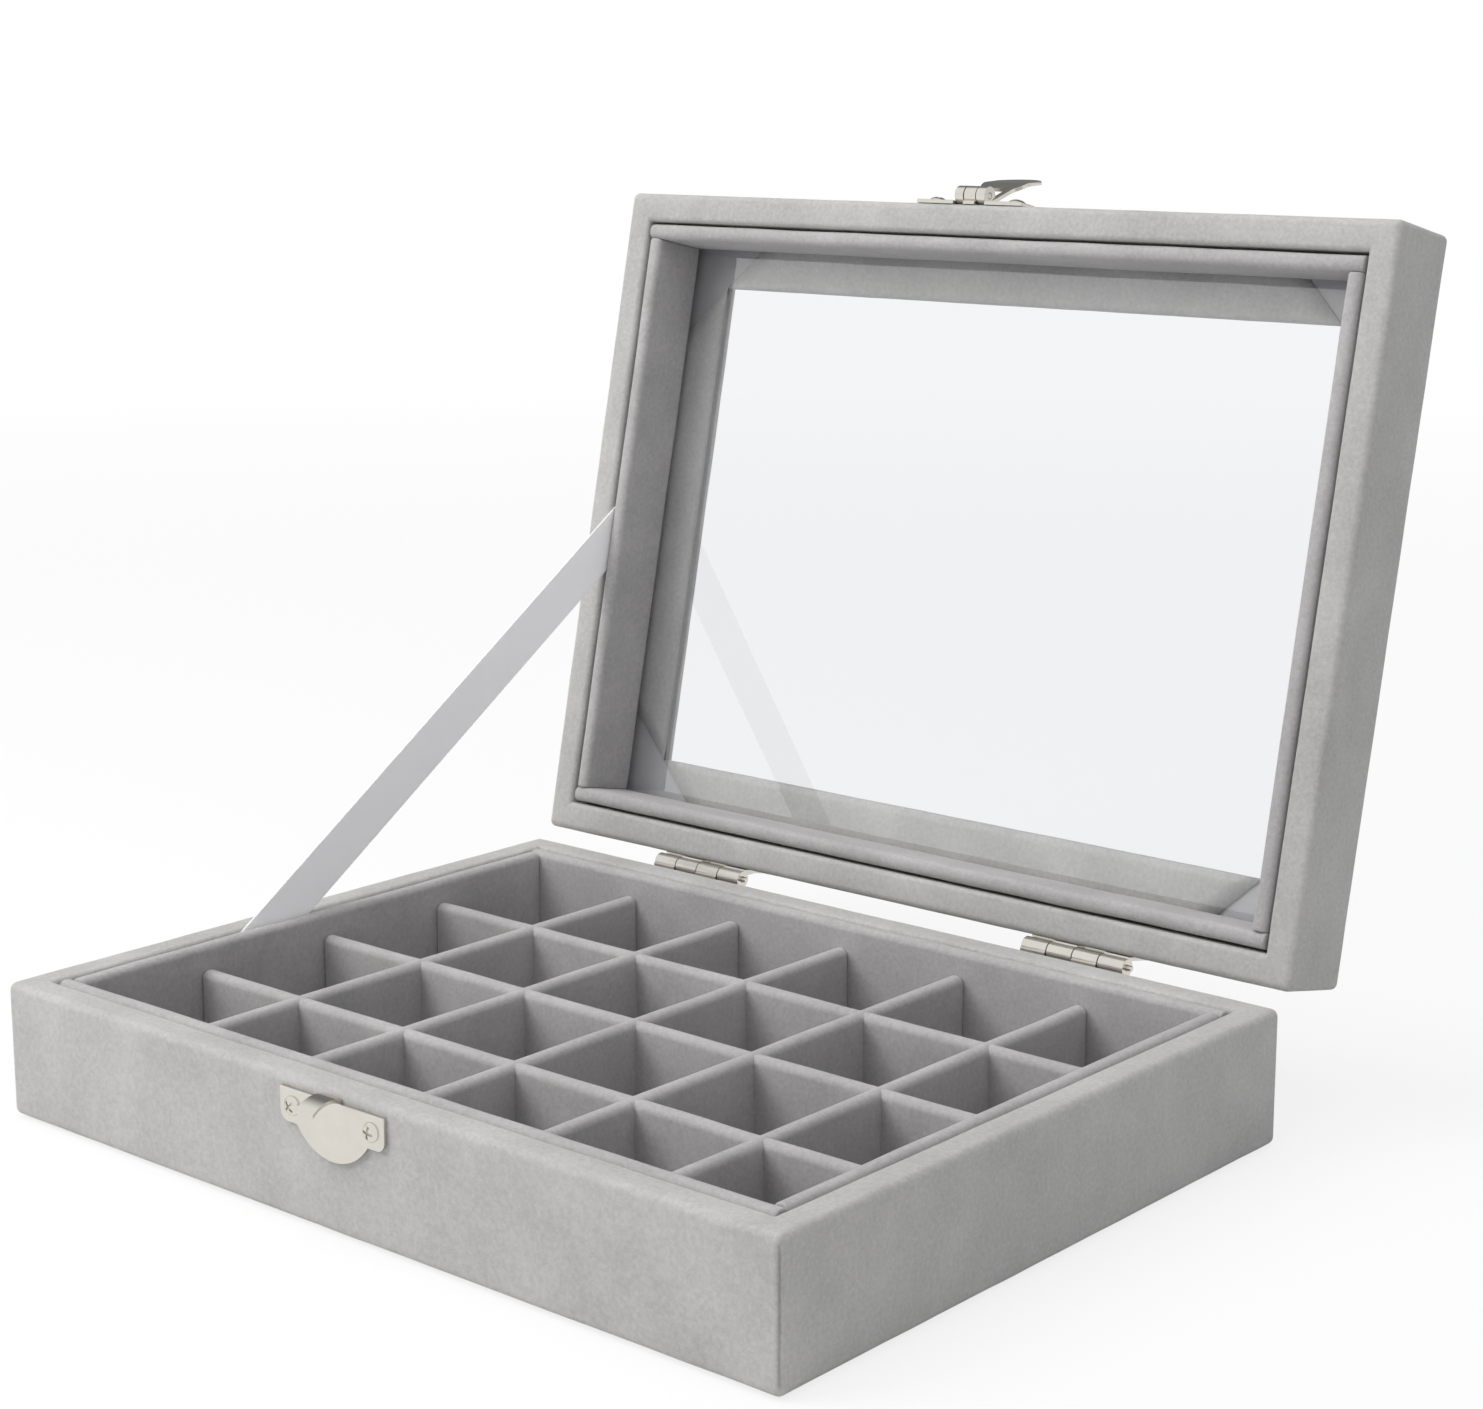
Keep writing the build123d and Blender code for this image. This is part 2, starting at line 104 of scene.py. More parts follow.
class Finish:
    """The nodes of one material, or of the room."""

    def __init__(self, name, owner=None):
        self.material = owner or bpy.data.materials.new(name)
        self.material.use_nodes = True
        self.tree = self.material.node_tree
        self.tree.nodes.clear()

    def node(self, kind, settings=None, sockets=None, output=0):
        """Adds a node, gives it its settings, then its sockets, and returns one output."""
        node = self.tree.nodes.new(kind)
        for setting, value in (settings or {}).items():
            setattr(node, setting, value)
        for key, value in (sockets or {}).items():
            if isinstance(value, Wire):
                self.tree.links.new(value.socket, node.inputs[key])
            else:
                node.inputs[key].default_value = value
        return Wire(self, node.outputs[output]) if node.outputs else node

    def noise(self, place, scale, detail, roughness):
        """Noise of this many waves to the metre."""
        sizes = {"Vector": place, "Scale": scale, "Detail": detail, "Roughness": roughness}
        return self.node("ShaderNodeTexNoise", {}, sizes)

    def tint(self, amount, low, high):
        """A colour from low to high."""
        colours = {0: amount, 6: (*low, 1), 7: (*high, 1)}
        return self.node("ShaderNodeMix", {"data_type": "RGBA"}, colours, 2)

    def bump(self, height, distance, strength):
        """A normal from a height between 0 and 1, over a distance in metres."""
        heights = {"Height": height, "Distance": distance, "Strength": strength}
        return self.node("ShaderNodeBump", {}, heights)

    def shown(self, shader):
        """Makes this shader the surface."""
        kind = "ShaderNodeOutputMaterial"
        if isinstance(self.material, bpy.types.World):
            kind = "ShaderNodeOutputWorld"
        self.node(kind, {}, {"Surface": shader})
        return self.material

    def surface(self, **sockets):
        """Ends the finish with a Principled surface. A low line in a name stands for a space."""
        values = {name.replace("_", " "): value for name, value in sockets.items()}
        return self.shown(self.node("ShaderNodeBsdfPrincipled", {}, values))

    def ray(self, kind):
        """1 on rays of this kind: Camera, Glossy, Transmission or Shadow."""
        return self.node("ShaderNodeLightPath", {}, {}, f"Is {kind} Ray")

    def seen(self):
        """1 for what the camera sees, straight on or by way of metal and glass."""
        return self.ray("Camera") + self.ray("Glossy") + self.ray("Transmission")


# The world is white to the camera and dim to the cloth. Metal and glass see its far side dark,
# so that the plating has some contrast.
room = Finish("room", bpy.data.worlds.new("room"))
room_light = 0.49
room_colour = (0.97, 0.975, 1.0, 1)
pure_white = (1, 1, 1, 1)
far_side_dark = 0.8
far_side_from = 0.05
far_side_to = 0.45
direction = room.node("ShaderNodeTexCoord", {}, {}, "Generated")
depth = room.node("ShaderNodeSeparateXYZ", {}, {"Vector": direction}, "Y")
far_side = room.node(
    "ShaderNodeMapRange", {}, {"Value": depth, 1: far_side_from, 2: far_side_to}
)
dim = room.node("ShaderNodeBackground", {}, {"Color": room_colour, "Strength": room_light})
white_strength = 1 - far_side_dark * far_side * room.ray("Glossy")
white = room.node("ShaderNodeBackground", {}, {"Color": pure_white, "Strength": white_strength})
bpy.context.scene.world = room.shown(
    room.node("ShaderNodeMixShader", {}, {0: room.seen(), 1: dim, 2: white})
)

# The floor keeps the case's shadow near by, and is white further out.
floor_half = 12
floor_colour = (0.8, 0.8, 0.8, 1)
floor_white_near = 0.8
floor_white_from = 0.3
floor_white_to = 1.4
floor_mesh = bpy.data.meshes.new("floor")
floor_mesh.from_pydata(
    [(x * floor_half, y * floor_half, 0) for x, y in ((-1, -1), (1, -1), (1, 1), (-1, 1))],
    [],
    [(0, 1, 2, 3)],
)
floor = bpy.data.objects.new("floor", floor_mesh)
bpy.context.scene.collection.objects.link(floor)
floor_finish = Finish("pale_floor")
paint = floor_finish.node("ShaderNodeBsdfDiffuse", {}, {"Color": floor_colour})
glow = floor_finish.node("ShaderNodeEmission", {}, {"Color": pure_white, "Strength": 1})
floor_place = floor_finish.node("ShaderNodeTexCoord", {}, {}, "Object")
reach = floor_finish.node(
    "ShaderNodeVectorMath", {"operation": "LENGTH"}, {0: floor_place}, "Value"
)
whitening = floor_finish.node(
    "ShaderNodeMapRange",
    {},
    {"Value": reach, 1: floor_white_from, 2: floor_white_to, 3: floor_white_near, 4: 1.0},
)
floor_glow = floor_finish.seen() * whitening
floor_mixed = floor_finish.node("ShaderNodeMixShader", {}, {0: floor_glow, 1: paint, 2: glow})
floor_mesh.materials.append(floor_finish.shown(floor_mixed))


def lamp(name, place, size, watts, colour=(1, 1, 1)):
    """A soft square lamp that looks at the middle of the case."""
    light = bpy.data.lights.new(name, "AREA")
    light.size = size
    light.energy = watts
    light.color = colour
    holder = bpy.data.objects.new(name, light)
    holder.location = place
    holder.rotation_euler = (Vector(place) - camera_target).to_track_quat("Z", "Y").to_euler()
    holder.visible_glossy = False
    bpy.context.scene.collection.objects.link(holder)


lamp("key_lamp", (-0.42, -0.52, 0.6), 0.5, 4.3, (1, 0.985, 0.96))
lamp("top_lamp", (-0.2, -0.3, 1.6), 1.2, 11.5)
lamp("fill_lamp", (0.5, -0.12, 0.62), 0.4, 0.5)


# The case's cloth: one piece of short grey velvet glued over the boards. It covers the
# sides, folds over the rim into the groove, and is hemmed under the case.
case_low, case_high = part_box("case_velvet_wrap")
cloth = 0.5 * mm
board_edge = 6.5 * mm
rim_return = 8 * mm
hem = 12 * mm
corner_radius = 1.5 * mm
fold_radius = 1.6 * mm
groove_radius = 1.1 * mm
pocket_corner_radius = 0.3 * mm
corner_steps = 8
side_steps = 40
corner_crease = 0.3 * mm
ripple = 0.07 * mm
ripple_pitch = 9 * mm
ripple_seed = 3
noise.seed_set(ripple_seed)
patches_per_metre = 55
tufts_per_metre = 1100
fibres_per_metre = 3600
pile_depth = 0.25 * mm


def velvet(name, colour, pile):
    """Short pile on cloth: soft patches where it was brushed, tufts, and a grain of fibres."""
    finish = Finish(name)
    place = finish.node("ShaderNodeTexCoord", {}, {}, "Object")
    patches = finish.noise(place, patches_per_metre, 3, 0.6)
    tufts = finish.noise(place, tufts_per_metre, 3, 0.7)
    grain = finish.noise(place, fibres_per_metre, 5, 0.9)
    mixed = 0.3 * patches + 0.38 * tufts + 0.32 * grain
    spread = finish.node("ShaderNodeMapRange", {}, {"Value": mixed, 1: 0.37, 2: 0.63})
    dark = tuple(0.8 * part for part in colour)
    light = tuple(1.18 * part for part in colour)
    return finish.surface(
        Base_Color=finish.tint(spread, dark, light),
        Roughness=0.95,
        Specular_IOR_Level=0.15,
        Sheen_Weight=0.3,
        Sheen_Roughness=0.45,
        Normal=finish.bump(grain, pile_depth, pile),
    )


cover_velvet = velvet("cover_velvet", (0.455, 0.45, 0.44), 0.5)


def quarter(centre, radius, start, steps=5):
    """Points of a quarter turn about a centre, anticlockwise from a start angle."""
    angles = [start + pi / 2 * i / steps for i in range(steps + 1)]
    return [(centre[0] + radius * cos(a), centre[1] + radius * sin(a)) for a in angles]


def run(start, end, steps):
    """Points on a straight line, with both ends."""
    return [Vector(start).lerp(Vector(end), i / steps)[:] for i in range(steps + 1)]


def rounded_loop(half_x, half_y, radius, crease):
    """Points round a rectangle with rounded corners, each creased inwards at its middle."""
    arcs = []
    for x, y, start in ((1, 1, 0), (-1, 1, pi / 2), (-1, -1, pi), (1, -1, 3 * pi / 2)):
        centre = (x * (half_x - radius), y * (half_y - radius))
        arc = quarter(centre, radius, start, corner_steps)
        middle = corner_steps // 2
        arc[middle] = (arc[middle][0] - x * crease, arc[middle][1] - y * crease)
        arcs.append(arc)
    points = []
    for i, arc in enumerate(arcs):
        points += arc + run(arc[-1], arcs[(i + 1) % 4][0], side_steps)[1:-1]
    return points


def swept_cover(name, path, lining_path, low, high, crease):
    """Sweeps a path of (inset, height) round a shell, and closes it along the boards."""
    profile = path + lining_path
    half_x = (high.x - low.x) / 2
    half_y = (high.y - low.y) / 2
    points = []
    for i, (inset, height) in enumerate(profile):
        radius = max(corner_radius - inset, pocket_corner_radius)
        on_side = inset == 0 and profile[i - 1][0] == 0 and profile[i + 1][0] == 0
        loop = rounded_loop(half_x - inset, half_y - inset, radius, crease if on_side else 0)
        points += [(x, y, height) for x, y in loop]
    count = len(loop)
    faces = []
    for i in range(len(profile)):
        after = (i + 1) % len(profile) * count
        for j in range(count):
            beside = (j + 1) % count
            faces.append((i * count + j, i * count + beside, after + beside, after + j))
    mesh = bpy.data.meshes.new(name)
    mesh.from_pydata(points, [], faces)
    return mesh


def rippled(mesh, amount, pitch):
    """Moves a mesh's points a little, as glue and pile do."""
    for vertex in mesh.vertices:
        vertex.co += amount * noise.noise_vector(vertex.co / pitch)
    return mesh


def piece(name, meshes, material, body, replaced=(), turn=Matrix(), crisp=None):
    """Joins meshes into one closed piece that faces outwards, and lets it ride on a body."""
    shape = bmesh.new()
    for mesh in meshes:
        shape.from_mesh(mesh)
    bmesh.ops.remove_doubles(shape, verts=shape.verts, dist=0.001 * mm)
    bmesh.ops.recalc_face_normals(shape, faces=shape.faces)
    joined = bpy.data.meshes.new(name)
    shape.to_mesh(joined)
    shape.free()
    joined.transform(turn)
    joined.materials.append(material)
    joined.shade_smooth()
    if crisp:
        joined.set_sharp_from_angle(angle=crisp)
    made = bpy.data.objects.new(name, joined)
    bpy.context.scene.collection.objects.link(made)
    if body:
        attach(made, body)
    if replaced:
        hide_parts(*replaced)
    return made


rim = case_high.z
hem_low = case_low.z
case_path = [
    *run((board_edge, rim - rim_return), (board_edge, rim - groove_radius), 4),
    *quarter((board_edge - groove_radius, rim - groove_radius), groove_radius, 0),
    *quarter((fold_radius, rim - fold_radius), fold_radius, pi / 2),
    *run((0, rim - fold_radius), (0, hem_low + fold_radius), 14)[1:],
    *quarter((fold_radius, hem_low + fold_radius), fold_radius, pi)[1:],
    (hem, hem_low),
]
case_lining_path = [
    (hem, hem_low + cloth),
    (cloth, hem_low + cloth),
    (cloth, rim - cloth),
    (board_edge - cloth, rim - cloth),
    (board_edge - cloth, rim - rim_return),
]
case_cloth = swept_cover(
    "case_cloth", case_path, case_lining_path, case_low, case_high, corner_crease
)
piece(
    "case_cover",
    [rippled(case_cloth, ripple, ripple_pitch)],
    cover_velvet,
    "case",
    ["case_velvet_wrap"],
)


# The lid's cloth. It covers the sides, the rim and the top, is turned through the window,
# and is glued down inside in four flaps that were cut at the window's corners.
hinge_low, hinge_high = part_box("hinge_pin_left")
hinge_axis = (hinge_low + hinge_high) / 2
lid_open_angle = radians(102)
lid_turn = (
    Matrix.Translation((0, hinge_axis.y, hinge_axis.z))
    @ Matrix.Rotation(-lid_open_angle, 4, "X")
    @ Matrix.Translation((0, -hinge_axis.y, -hinge_axis.z))
)
window_border = 19 * mm
window_radius = 1.2 * mm
flap = 12 * mm
flap_steps_across = 24
flap_steps_out = 6


def shut_box(node, turn):
    """The lowest and highest corners of a CAD node once it is turned back to shut."""
    back = turn.inverted()
    corners = [back @ vertex.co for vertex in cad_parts[node].data.vertices]
    return Vector(map(min, zip(*corners))), Vector(map(max, zip(*corners)))


lid_low, lid_high = shut_box("lid_velvet_wrap", lid_turn)
panel_low = shut_box("lid_top_panel", lid_turn)[0].z
lid_rim = lid_low.z
lid_top = lid_high.z
flap_low = panel_low - cloth
reveal = window_border - window_radius
lid_path = [
    *run((board_edge, lid_rim + rim_return), (board_edge, lid_rim + groove_radius), 4),
    *quarter((board_edge - groove_radius, lid_rim + groove_radius), groove_radius, -pi / 2)[::-1],
    *quarter((fold_radius, lid_rim + fold_radius), fold_radius, pi)[::-1],
    *run((0, lid_rim + fold_radius), (0, lid_top - fold_radius), 10)[1:],
    *quarter((fold_radius, lid_top - fold_radius), fold_radius, pi / 2)[::-1][1:],
    *run((fold_radius, lid_top), (reveal, lid_top), 6)[1:],
    *quarter((reveal, lid_top - window_radius), window_radius, 0)[::-1][1:],
    (window_border, panel_low),
]
lid_lining_path = [
    (window_border - cloth, panel_low),
    (window_border - cloth, lid_top - cloth),
    (cloth, lid_top - cloth),
    (cloth, lid_rim + cloth),
    (board_edge - cloth, lid_rim + cloth),
    (board_edge - cloth, lid_rim + rim_return),
]
lid_cloth = swept_cover("lid_cloth", lid_path, lid_lining_path, lid_low, lid_high, 0)


def window_flap(edge, out, side):
    """One flap, cut at 45 degrees from both corners of the window, glued under the panel."""
    shape = bmesh.new()
    rows = []
    for height in (flap_low, panel_low):
        for i in range(flap_steps_out + 1):
            away = flap * i / flap_steps_out
            half = edge / 2 - away
            points = run((-half, 0), (half, 0), flap_steps_across)
            rows.append([shape.verts.new((x, out + away, height)) for x, _ in points])

    def quad(*corners):
        shape.faces.new([rows[row][column] for row, column in corners])

    over = flap_steps_out + 1
    for i in range(flap_steps_out):
        for j in range(flap_steps_across):
            for row in (i, over + i):
                quad((row, j), (row, j + 1), (row + 1, j + 1), (row + 1, j))
    for i in range(flap_steps_out):
        for j in (0, flap_steps_across):
            quad((i, j), (i + 1, j), (over + i + 1, j), (over + i, j))
    for i in (0, flap_steps_out):
        for j in range(flap_steps_across):
            quad((i, j), (i, j + 1), (over + i, j + 1), (over + i, j))
    mesh = bpy.data.meshes.new("window_flap")
    shape.to_mesh(mesh)
    shape.free()
    mesh.transform(Matrix.Rotation(side * pi / 2, 4, "Z"))
    return mesh


window_width = lid_high.x - lid_low.x - 2 * window_border
window_depth = lid_high.y - lid_low.y - 2 * window_border
window_sides = [(window_width, window_depth / 2), (window_depth, window_width / 2)] * 2
flaps = [window_flap(edge, out, side) for side, (edge, out) in enumerate(window_sides)]
piece(
    "lid_cover",
    [rippled(lid_cloth, ripple, ripple_pitch), *flaps],
    cover_velvet,
    "lid",
    ["lid_velvet_wrap"],
    lid_turn,
)


# The boards under the cloth. The walls and the bottom are raw fibre board, and the lid's top
# is faced with grey paper, which shows behind the glass between the flaps.
def fibre_board(name, dark, light, bump_depth):
    """Pressed board, speckled with fibres."""
    finish = Finish(name)
    place = finish.node("ShaderNodeTexCoord", {}, {}, "Object")
    fibres = finish.noise(place, 1500, 4, 0.75)
    cloud = finish.noise(place, 60, 2, 0.5)
    return finish.surface(
        Base_Color=finish.tint(0.7 * fibres + 0.3 * cloud, dark, light),
        Roughness=0.6 + 0.3 * fibres,
        Specular_IOR_Level=0.3,
        Normal=finish.bump(fibres, bump_depth, 0.4),
    )


raw_board = fibre_board("raw_board", (0.22, 0.14, 0.08), (0.62, 0.47, 0.31), 0.15 * mm)
papered_board = fibre_board("papered_board", (0.42, 0.42, 0.425), (0.56, 0.56, 0.565), 0.04 * mm)


def clad(material, *nodes):
    """Gives CAD nodes that keep their shape a better material."""
    for node in nodes:
        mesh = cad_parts[node].data
        mesh.materials.clear()
        mesh.materials.append(material)


sides = ("front", "back", "left", "right")
clad(raw_board, *(f"{shell}_{side}_wall" for shell in ("case", "lid") for side in sides))
clad(raw_board, "case_bottom_board")
clad(papered_board, "lid_top_panel")


# The lining under the case, which it stands on: a sheet of dark flocked paper with trimmed
# corners, glued over the bottom board and the hem of the case's cloth.
lining_finish = Finish("flocked_paper")
lining_place = lining_finish.node("ShaderNodeTexCoord", {}, {}, "Object")
flock = lining_finish.noise(lining_place, 3000, 2, 0.7)
wear = lining_finish.noise(lining_place, 30, 4, 0.6)
clad(
    lining_finish.surface(
        Base_Color=lining_finish.tint(0.6 * flock + 0.4 * wear, (0.2, 0.2, 0.2), (0.5, 0.5, 0.5)),
        Roughness=0.8 + 0.2 * flock,
        Specular_IOR_Level=0.2,
        Normal=lining_finish.bump(flock, 0.15 * mm, 0.6),
    ),
    "bottom_lining",
)


# The liner boards inside the walls: velvet over board, stood round the inside of the case and
# the lid behind a narrow groove, with their rim edge rounded by the padding of the cloth.
liner_velvet = velvet("liner_velvet", (0.43, 0.42, 0.42), 0.6)
liner_edge_radius = 1.5 * mm
butt_radius = 0.4 * mm
sag = 0.12 * mm
sag_pitch = 16 * mm


def board_section(width, height, top_radius, inset):
    """Points round a board's section, from its foot up one side and down the other."""
    half = width / 2 - inset
    high = height - inset
    low = inset
    top = max(top_radius - inset, 0.05 * mm)
    foot = max(butt_radius - inset, 0.05 * mm)
    return [
        *quarter((half - foot, low + foot), foot, -pi / 2, 3),
        *run((half, low + foot), (half, high - top), 5)[1:-1],
        *quarter((half - top, high - top), top, 0, 6),
        *quarter((-half + top, high - top), top, pi / 2, 6),
        *run((-half, high - top), (-half, low + foot), 5)[1:-1],
        *quarter((-half + foot, low + foot), foot, pi, 3),
    ]


def covered_board(length, width, height, top_radius):
    """A velvet-covered board along X that stands at z 0, with soft edges and ends."""
    ends = [
        (butt_radius * (1 - cos(turn)), butt_radius * (1 - sin(turn)))
        for turn in (0, pi / 6, pi / 3, pi / 2)
    ]
    middle = int(length / (2.5 * mm))
    places = [(along - length / 2, inset) for along, inset in ends]
    places += [(x, 0) for x, _ in run((-length / 2, 0), (length / 2, 0), middle)[1:-1]]
    places += [(length / 2 - along, inset) for along, inset in ends[::-1]]
    places.sort()
    shape = bmesh.new()
    rings = [
        [shape.verts.new((x, y, z)) for y, z in board_section(width, height, top_radius, inset)]
        for x, inset in places
    ]
    for ring, following in zip(rings, rings[1:]):
        for j in range(len(ring)):
            k = (j + 1) % len(ring)
            shape.faces.new([ring[j], ring[k], following[k], following[j]])
    shape.faces.new(rings[0])
    shape.faces.new(rings[-1])
    mesh = bpy.data.meshes.new("covered_board")
    shape.to_mesh(mesh)
    shape.free()
    return mesh


def board_over(name, node, material, body, top_radius, turn=Matrix(), rim_down=False, lower=0.0):
    """A covered board in the place of a CAD board, which the turn takes back to shut."""
    low, high = shut_box(node, turn)
    size = high - low
    along_y = size.y > size.x
    length, width = (size.y, size.x) if along_y else (size.x, size.y)
    mesh = covered_board(length, width, size.z - lower, top_radius)
    middle = (low + high) / 2
    foot = Matrix.Translation((middle.x, middle.y, high.z if rim_down else low.z))
    if rim_down:
        foot = foot @ Matrix.Rotation(pi, 4, "X")
    if along_y:
        foot = foot @ Matrix.Rotation(pi / 2, 4, "Z")
    mesh.transform(foot)
    rippled(mesh, sag, sag_pitch)
    return piece(name, [mesh], material, body, [node], turn)


for side in sides:
    board_over(
        f"{side}_case_liner", f"case_liner_{side}", liner_velvet, "case", liner_edge_radius
    )
    board_over(
        f"{side}_lid_liner",
        f"lid_liner_{side}",
        liner_velvet,
        "lid",
        liner_edge_radius,
        lid_turn,
        True,
    )


# The floor pad, a card covered with velvet, and the dividers on it: three long and five
# short ones, slotted into each other. The short ones' cloth runs on over the crossings.
pad_edge_radius = 0.5 * mm
divider_edge_radius = 1.6 * mm
crossing_step = 0.12 * mm
# The pad's velvet is darker and more violet than the other cloth: painted shade at the bottoms of
# the cells.
pad_velvet_painted_shade = velvet("pad_velvet_painted_shade", (0.2, 0.19, 0.215), 0.6)
board_over("velvet_floor_pad", "floor_pad", pad_velvet_painted_shade, "case", pad_edge_radius)
for number in (1, 2, 3):
    board_over(
        f"velvet_long_divider_{number}",
        f"long_divider_{number}",
        liner_velvet,
        "case",
        divider_edge_radius,
        lower=crossing_step,
    )
for number in (1, 2, 3, 4, 5):
    board_over(
        f"velvet_short_divider_{number}",
        f"short_divider_{number}",
        liner_velvet,
        "case",
        divider_edge_radius,
    )


# The window's glass: a clear sheet with ground edges, laid on the flaps and held there by the
# liners. It mirrors what is before it, and lets the lamps' light through.
glass_index = 2.5
glass_tint = (0.965, 0.968, 0.975, 1)
glass_polish = 0.01
glass_finish = Finish("window_glass")
gloss = glass_finish.node("ShaderNodeFresnel", {}, {"IOR": glass_index})
behind = glass_finish.node("ShaderNodeNewGeometry", {}, {}, "Backfacing")
mirroring = gloss * (1 - behind) * (1 - glass_finish.ray("Shadow"))
clear = glass_finish.node("ShaderNodeBsdfTransparent", {}, {"Color": glass_tint})
mirror = glass_finish.node("ShaderNodeBsdfGlossy", {}, {"Roughness": glass_polish})
pane = glass_finish.node("ShaderNodeMixShader", {}, {0: mirroring, 1: clear, 2: mirror})
clad(glass_finish.shown(pane), "glass_pane")


# The ribbon that stops the lid: one length of grey satin ribbon with woven edges, tucked and
# glued into the groove of the case and of the lid on the left, and straight when it is open.
ribbon_width = 10.4 * mm
ribbon_thickness = 0.35 * mm
ribbon_tail = 12 * mm
ribbon_x = -93.2 * mm
selvage = 0.12 * mm
pick = 0.55 * mm
across_steps = 10
case_exit = Vector((ribbon_x, -11 * mm, rim))
lid_exit = lid_turn @ Vector((ribbon_x, 7 * mm, lid_rim))
ribbon_run = lid_exit - case_exit
ribbon_length = ribbon_run.length + 2 * ribbon_tail
along = ribbon_run.normalized()
sideways = Vector((1, 0, 0)).cross(along)

ribbon_shape = bmesh.new()
ribbon_uv = ribbon_shape.loops.layers.uv.new("weave")
ribbon_places = {}
pick_count = int(ribbon_length / pick)
ribbon_rings = []
for i in range(pick_count + 1):
    travel = ribbon_length * i / pick_count
    half = ribbon_width / 2 - (selvage if i % 2 else 0)
    middle = case_exit + along * (travel - ribbon_tail)
    over = run((-half, 0), (half, 0), across_steps)
    ring = []
    for face_side in (1, -1):
        for offset, _ in over[::face_side]:
            lift = face_side * ribbon_thickness / 2
            vertex = ribbon_shape.verts.new(middle + sideways * offset + Vector((lift, 0, 0)))
            ribbon_places[vertex] = (offset + ribbon_width / 2, travel)
            ring.append(vertex)
    ribbon_rings.append(ring)
for ring, following in zip(ribbon_rings, ribbon_rings[1:]):
    for j in range(len(ring)):
        k = (j + 1) % len(ring)
        ribbon_shape.faces.new([ring[j], ring[k], following[k], following[j]])
ribbon_shape.faces.new(ribbon_rings[0])
ribbon_shape.faces.new(ribbon_rings[-1])
for face in ribbon_shape.faces:
    for corner in face.loops:
        corner[ribbon_uv].uv = ribbon_places[corner.vert]
ribbon_mesh = bpy.data.meshes.new("ribbon_cloth")
ribbon_shape.to_mesh(ribbon_mesh)
ribbon_shape.free()

# Its satin: long floats of yarn along it, picks across it, and light that comes through.
floats_per_metre = 6000
float_stretch = 0.08
picks_per_metre = 450
clouds_per_metre = 90
weave_depth = 0.03 * mm
dark_satin = (0.84, 0.84, 0.85)
light_satin = (0.95, 0.95, 0.96)
satin = Finish("grey_satin")
weave_place = satin.node("ShaderNodeUVMap", {"uv_map": "weave"})
stretched = satin.node(
    "ShaderNodeMapping", {}, {"Vector": weave_place, "Scale": (1, float_stretch, 1)}
)
floats = satin.noise(stretched, floats_per_metre, 2, 0.6)
picks = satin.node(
    "ShaderNodeTexWave",
    {"wave_type": "BANDS", "bands_direction": "Y"},
    {"Vector": weave_place, "Scale": picks_per_metre, "Distortion": 1.5, "Detail": 1},
    1,
)
satin_cloud = satin.noise(weave_place, clouds_per_metre, 2, 0.5)
satin_height = 0.6 * floats + 0.4 * picks
satin_shade = 0.5 * satin_height + 0.5 * satin_cloud
grey_satin = satin.surface(
    Base_Color=satin.tint(satin_shade, dark_satin, light_satin),
    Roughness=0.35 + 0.25 * satin_height,
    Specular_IOR_Level=0.5,
    Sheen_Weight=0.1,
    Subsurface_Weight=0.6,
    Subsurface_Radius=(1, 1, 1),
    Subsurface_Scale=1.0 * mm,
    Normal=satin.bump(satin_height, weave_depth, 0.5),
)
ribbon = piece(
    "satin_ribbon_stay",
    [ribbon_mesh],
    grey_satin,
    None,
    ["ribbon_stay"],
    crisp=radians(50),
)
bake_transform(ribbon)


# The metal fittings: the catch plate with its hook, the lid's plate, the tongue and its pin,
# and the two hinges. All are stamped from thin steel and plated with nickel.
def plated(name, colour, roughness):
    """Bright plating with faint tumbling marks."""
    finish = Finish(name)
    place = finish.node("ShaderNodeTexCoord", {}, {}, "Object")
    cloud = finish.noise(place, 250, 3, 0.6)
    marks = finish.noise(place, 1800, 3, 0.65)
    dull = tuple(0.88 * part for part in colour)
    return finish.surface(
        Base_Color=finish.tint(cloud, dull, colour),
        Metallic=1.0,
        Roughness=roughness + 0.12 * marks,
        Normal=finish.bump(marks, 0.01 * mm, 0.12),
    )


nickel = plated("nickel_plating", (0.74, 0.71, 0.65), 0.16)
stamped_edge = 0.14 * mm


def flat_faced(node):
    """A copy of a CAD node's mesh with its triangles joined into flat faces."""
    shape = bmesh.new()
    shape.from_mesh(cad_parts[node].data)
    bmesh.ops.remove_doubles(shape, verts=shape.verts, dist=0.001 * mm)
    bmesh.ops.dissolve_limit(
        shape, angle_limit=radians(0.5), verts=shape.verts, edges=shape.edges
    )
    mesh = bpy.data.meshes.new(node)
    shape.to_mesh(mesh)
    shape.free()
    return mesh


def fitting(name, node, body):
    """A metal piece in the shape of its CAD node, with its stamped edges rounded."""
    made = piece(name, [flat_faced(node)], nickel, body, [node], crisp=radians(35))
    bevel = made.modifiers.new("stamped_edge", "BEVEL")
    bevel.width = stamped_edge
    bevel.segments = 2
    bevel.limit_method = "ANGLE"
    bevel.angle_limit = radians(35)
    bevel.harden_normals = True
    return made


fitting("nickel_catch_plate", "catch_plate", "case")
fitting("nickel_hasp_plate", "hasp_plate", "lid")
fitting("nickel_hasp_pin", "hasp_pin", "lid")
fitting("nickel_tongue", "hasp_tongue", "tongue")
for side in ("left", "right"):
    fitting(f"nickel_case_leaf_{side}", f"hinge_case_leaf_{side}", "case")
    fitting(f"nickel_lid_leaf_{side}", f"hinge_lid_leaf_{side}", "lid")
    fitting(f"nickel_hinge_pin_{side}", f"hinge_pin_{side}", "case")


